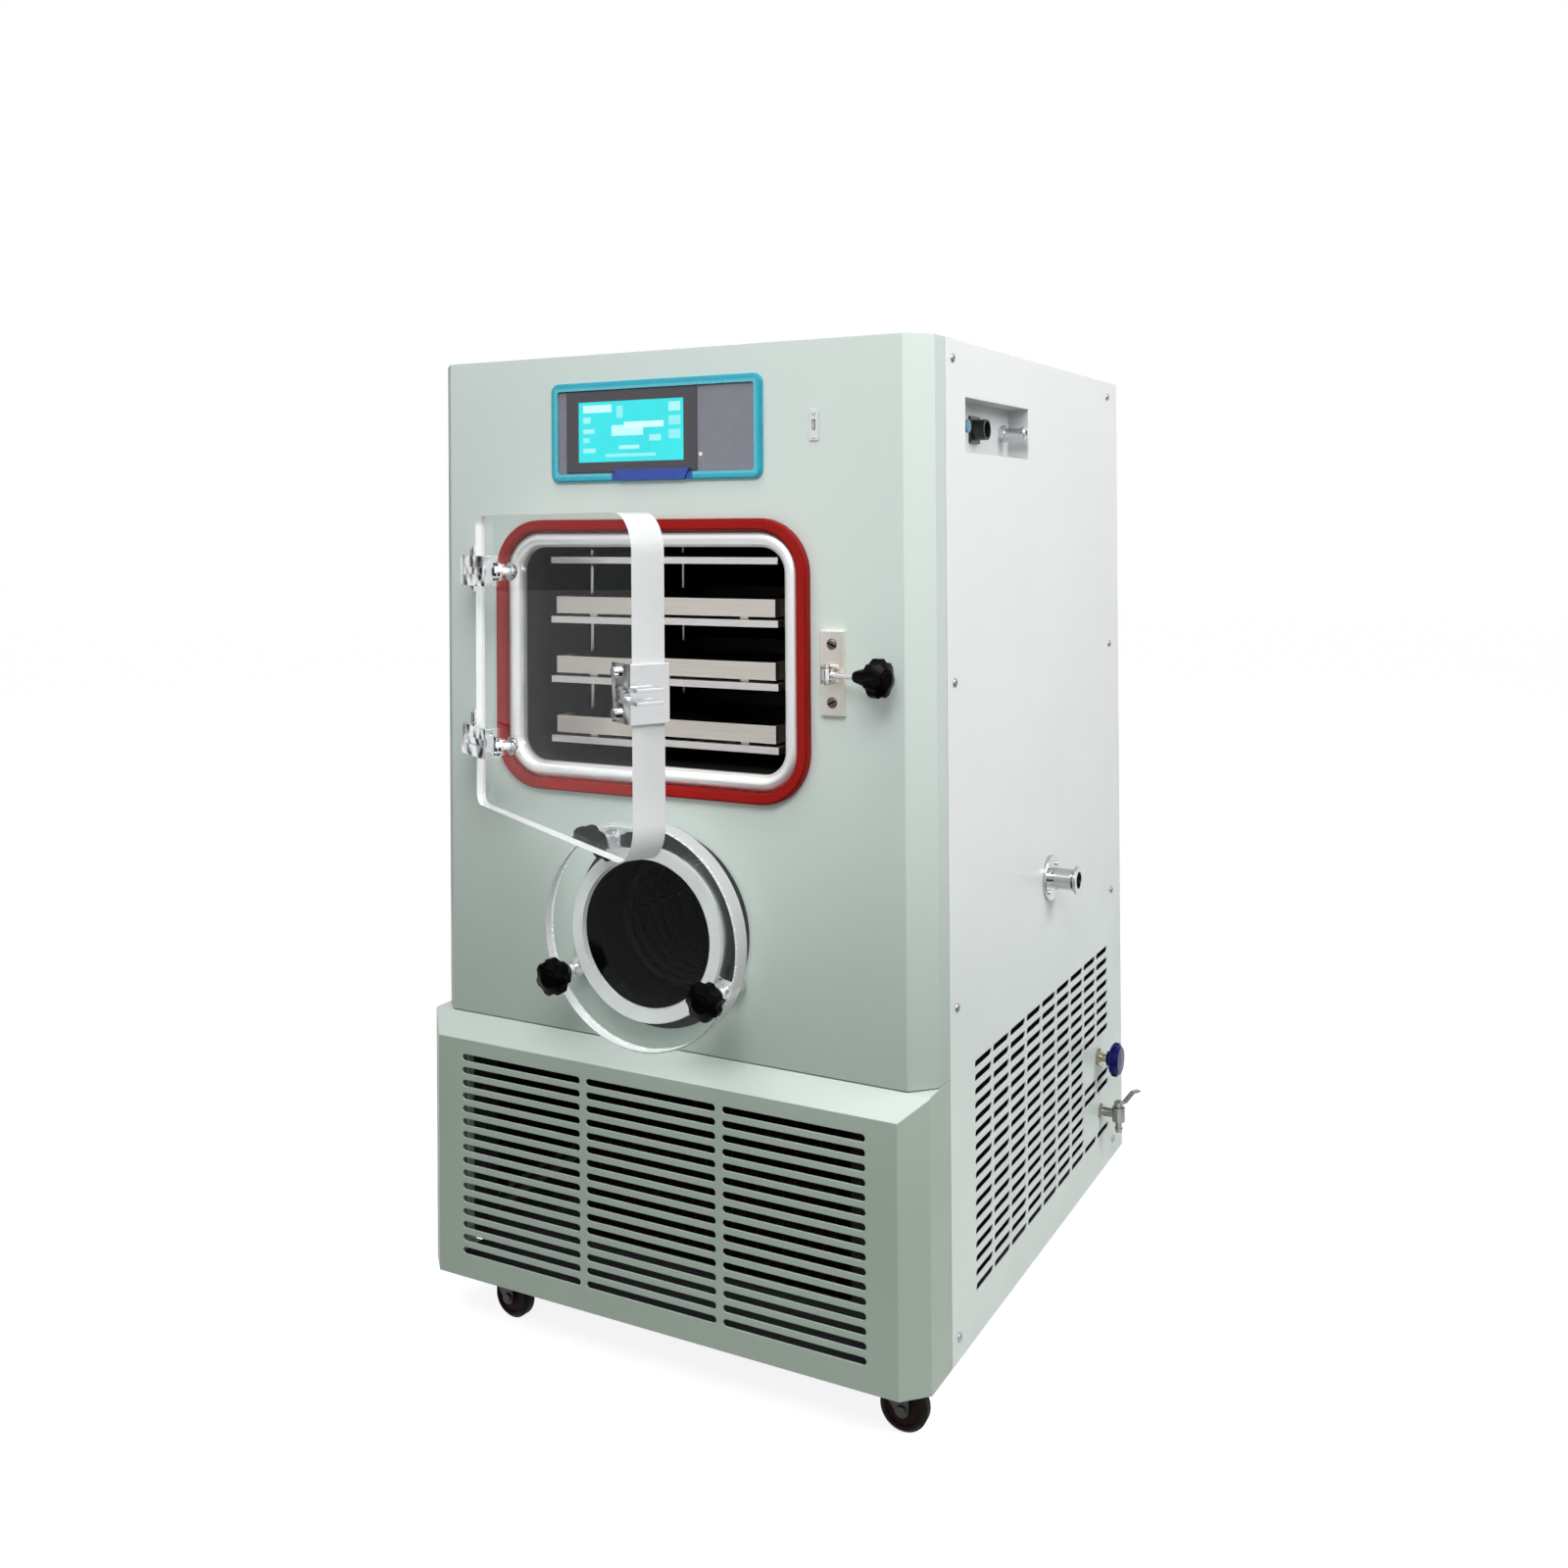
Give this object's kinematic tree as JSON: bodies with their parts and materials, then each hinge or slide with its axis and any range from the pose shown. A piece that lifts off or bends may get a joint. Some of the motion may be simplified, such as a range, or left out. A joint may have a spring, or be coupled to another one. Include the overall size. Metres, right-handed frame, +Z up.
{
  "type": "freeze dryer",
  "caption": "Floor-standing freeze dryer on castors: sheet-metal cabinet, shelved drying chamber behind a hinged clear door, and a round cold trap with a clamped clear lid.",
  "frame": {"origin": "bottom centre of the whole machine with its door standing open: on the floor, midway across the width and midway from the open door to the rear", "axes": "+X to the right of a user facing the front, +Y from the front to the rear, +Z up"},
  "size_m": [0.8183, 1.1806, 1.352],
  "materials": {
    "frame_steel": "dark powder coat, satin",
    "front_paint": "pale grey-green powder coat, satin",
    "base_paint": "pale grey-green powder coat, satin",
    "side_paint": "off-white powder coat, satin",
    "rear_paint": "off-white powder coat, satin",
    "top_paint": "off-white powder coat, satin",
    "screw_steel": "bright plated steel",
    "chamber_steel": "brushed stainless steel with a polished rim",
    "red_rubber": "red silicone rubber",
    "shelf_steel": "brushed stainless steel",
    "rod_steel": "stainless steel rod",
    "tray_steel": "satin stainless sheet",
    "can_steel": "dull stainless steel",
    "coil_steel": "dull refrigerant tube",
    "collar_steel": "turned stainless steel",
    "seal_rubber": "white silicone gasket; black rubber ring on the panel",
    "stud_chrome": "bright plated steel",
    "lid_acrylic": "clear acrylic, polished",
    "washer_rubber": "black rubber",
    "knob_plastic": "black phenolic, semi-gloss",
    "door_acrylic": "clear acrylic, polished, frosted edge",
    "hinge_chrome": "polished chrome",
    "bolt_chrome": "polished chrome",
    "catch_steel": "polished stainless steel",
    "latch_steel": "satin stainless steel",
    "frame_blue": "blue-green moulded plastic with a dark blue tab",
    "panel_grey": "grey matt plastic",
    "screen_dark": "dark bezel with a lit blue-green screen",
    "port_white": "white plastic with a dark slot",
    "recess_paint": "off-white powder coat",
    "fitting_metal": "steel nozzle, black socket and blue-green coupling",
    "port_steel": "polished stainless steel",
    "valve_brass": "nickel plated brass",
    "knob_blue": "dark blue plastic",
    "tap_chrome": "nickel plated brass",
    "compressor_black": "black enamel",
    "condenser_alu": "bare aluminium fins",
    "fan_plastic": "black plastic",
    "gland_plastic": "black nylon",
    "fork_steel": "black plated steel",
    "wheel_rubber": "black tread on a dark red hub"
  },
  "bodies": {
    "cabinet": {"chassis": "frame_steel", "front_panel": "front_paint", "lower_front": "base_paint", "side_panel_right": "side_paint", "side_panel_left": "side_paint", "rear_panel": "rear_paint", "top_cover": "top_paint", "screws": "screw_steel", "drying_chamber": "chamber_steel", "chamber_gasket": "red_rubber", "shelf_1": "shelf_steel", "shelf_2": "shelf_steel", "shelf_3": "shelf_steel", "shelf_4": "shelf_steel", "shelf_rods": "rod_steel", "tray_1": "tray_steel", "tray_2": "tray_steel", "tray_3": "tray_steel", "trap_can": "can_steel", "trap_coil": "coil_steel", "trap_collar": "collar_steel", "trap_seals": "seal_rubber", "trap_studs": "stud_chrome", "hinge_brackets": "hinge_chrome", "latch_plate": "latch_steel", "display_frame": "frame_blue", "display_panel": "panel_grey", "touch_screen": "screen_dark", "data_port": "port_white", "connector_recess": "recess_paint", "recess_fittings": "fitting_metal", "vacuum_port": "port_steel", "vent_valve": "valve_brass", "drain_tap": "tap_chrome", "compressor": "compressor_black", "condenser_unit": "condenser_alu", "cord_gland": "gland_plastic"},
    "door": {"chamber_door": "door_acrylic", "hinge_arms": "hinge_chrome", "door_bolts": "bolt_chrome", "door_catch": "catch_steel"},
    "latch": {"latch_bolt": "bolt_chrome"},
    "latch_knob": {"latch_knob": "knob_plastic"},
    "trap_lid": {"trap_lid": "lid_acrylic", "trap_washers": "washer_rubber"},
    "trap_knob_1": {"trap_knob_1": "knob_plastic"},
    "trap_knob_2": {"trap_knob_2": "knob_plastic"},
    "trap_knob_3": {"trap_knob_3": "knob_plastic"},
    "vent_knob": {"vent_knob": "knob_blue"},
    "drain_lever": {"drain_lever": "tap_chrome"},
    "fan": {"condenser_fan": "fan_plastic"},
    "fork_1": {"castor_fork_1": "fork_steel"},
    "wheel_1": {"castor_wheel_1": "wheel_rubber"},
    "fork_2": {"castor_fork_2": "fork_steel"},
    "wheel_2": {"castor_wheel_2": "wheel_rubber"},
    "fork_3": {"castor_fork_3": "fork_steel"},
    "wheel_3": {"castor_wheel_3": "wheel_rubber"},
    "fork_4": {"castor_fork_4": "fork_steel"},
    "wheel_4": {"castor_wheel_4": "wheel_rubber"}
  },
  "joints": [
    {"name": "chamber_door_hinge", "type": "hinge", "parent": "cabinet", "child": "door", "pos_m": [-0.2998, -0.28774, 0.948], "axis": [0, 0, -1], "range_deg": [-30, 90]},
    {"name": "latch_swing", "type": "hinge", "parent": "cabinet", "child": "latch", "pos_m": [0.2308, -0.27774, 0.937], "axis": [0, 0, -1], "range_deg": [-7, 75]},
    {"name": "latch_knob_spin", "type": "hinge", "parent": "latch", "child": "latch_knob", "pos_m": [0.27456, -0.28946, 0.937], "axis": [0.9659, -0.2588, 0], "continuous": true},
    {"name": "trap_lid_slide", "type": "slide", "parent": "cabinet", "child": "trap_lid", "axis": [0, -1, 0], "range_m": [0, 0.1]},
    {"name": "trap_knob_1_spin", "type": "hinge", "parent": "trap_lid", "child": "trap_knob_1", "pos_m": [-0.04879, -0.33234, 0.71972], "axis": [0, -1, 0], "continuous": true},
    {"name": "trap_knob_2_spin", "type": "hinge", "parent": "trap_lid", "child": "trap_knob_2", "pos_m": [-0.13405, -0.33234, 0.53689], "axis": [0, -1, 0], "continuous": true},
    {"name": "trap_knob_3_spin", "type": "hinge", "parent": "trap_lid", "child": "trap_knob_3", "pos_m": [0.09405, -0.33234, 0.53689], "axis": [0, -1, 0], "continuous": true},
    {"name": "vent_knob_turn", "type": "hinge", "parent": "cabinet", "child": "vent_knob", "pos_m": [0.375, 0.43426, 0.268], "axis": [1, 0, 0], "range_deg": [0, 540]},
    {"name": "drain_lever_turn", "type": "hinge", "parent": "cabinet", "child": "drain_lever", "pos_m": [0.385, 0.44626, 0.193], "axis": [0, 0, -1], "range_deg": [0, 90]},
    {"name": "condenser_fan_spin", "type": "hinge", "parent": "cabinet", "child": "fan", "pos_m": [-0.025, -0.09774, 0.234], "axis": [0, 1, 0], "continuous": true},
    {"name": "castor_swivel_1", "type": "hinge", "parent": "cabinet", "child": "fork_1", "pos_m": [0.275, -0.21274, 0.07], "axis": [0, 0, 1], "continuous": true},
    {"name": "castor_roll_1", "type": "hinge", "parent": "fork_1", "child": "wheel_1", "pos_m": [0.29894, -0.21106, 0.031], "axis": [-0.0698, 0.9976, 0], "continuous": true},
    {"name": "castor_swivel_2", "type": "hinge", "parent": "cabinet", "child": "fork_2", "pos_m": [-0.325, -0.21274, 0.07], "axis": [0, 0, 1], "continuous": true},
    {"name": "castor_roll_2", "type": "hinge", "parent": "fork_2", "child": "wheel_2", "pos_m": [-0.30113, -0.21525, 0.031], "axis": [0.1045, 0.9945, 0], "continuous": true},
    {"name": "castor_swivel_3", "type": "hinge", "parent": "cabinet", "child": "fork_3", "pos_m": [0.275, 0.47726, 0.07], "axis": [0, 0, 1], "continuous": true},
    {"name": "castor_roll_3", "type": "hinge", "parent": "fork_3", "child": "wheel_3", "pos_m": [0.27999, 0.50074, 0.031], "axis": [-0.9781, 0.2079, 0], "continuous": true},
    {"name": "castor_swivel_4", "type": "hinge", "parent": "cabinet", "child": "fork_4", "pos_m": [-0.325, 0.47726, 0.07], "axis": [0, 0, 1], "continuous": true},
    {"name": "castor_roll_4", "type": "hinge", "parent": "fork_4", "child": "wheel_4", "pos_m": [-0.34578, 0.48926, 0.031], "axis": [-0.5, -0.866, 0], "continuous": true}
  ]
}
